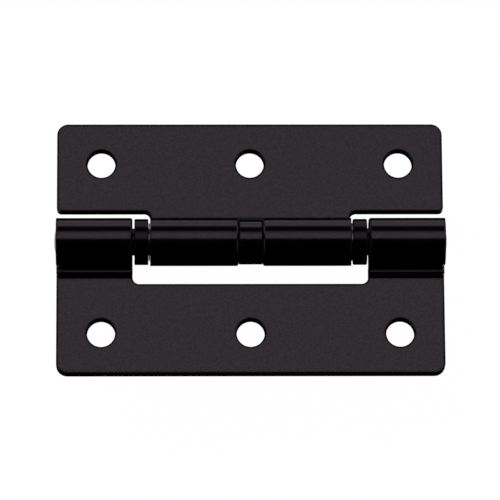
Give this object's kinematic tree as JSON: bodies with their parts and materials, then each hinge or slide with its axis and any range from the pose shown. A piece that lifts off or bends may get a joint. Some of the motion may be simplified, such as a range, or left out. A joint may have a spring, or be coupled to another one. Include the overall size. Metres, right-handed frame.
{
  "type": "torque hinge",
  "caption": "Black steel friction hinge, opened flat: stepped leaves curled round a pin, collars between the curls, and a row of screw holes in each leaf.",
  "frame": {"origin": "under the middle of the pin's axis, in the plane of the leaves' back faces", "axes": "+X along the pin, +Y towards the upper leaf, which is the one with two ears, and +Z out of the front, the side that the barrel stands on"},
  "size_m": [0.0768, 0.051, 0.0109],
  "materials": {
    "painted_steel": "satin",
    "collar_plastic": "matte",
    "pin_steel": "satin",
    "washer_steel": "bright"
  },
  "bodies": {
    "fixed_leaf": {"lower_leaf": "painted_steel", "hinge_pin": "pin_steel", "left_collar": "collar_plastic", "right_collar": "collar_plastic", "middle_collar": "painted_steel", "left_washer": "washer_steel", "right_washer": "washer_steel"},
    "swinging_leaf": {"upper_leaf": "painted_steel"}
  },
  "joints": [
    {"name": "leaf_swing", "type": "hinge", "parent": "fixed_leaf", "child": "swinging_leaf", "pos_m": [0, 0, 0.00625], "axis": [1, 0, 0], "range_deg": [-90, 180]}
  ]
}
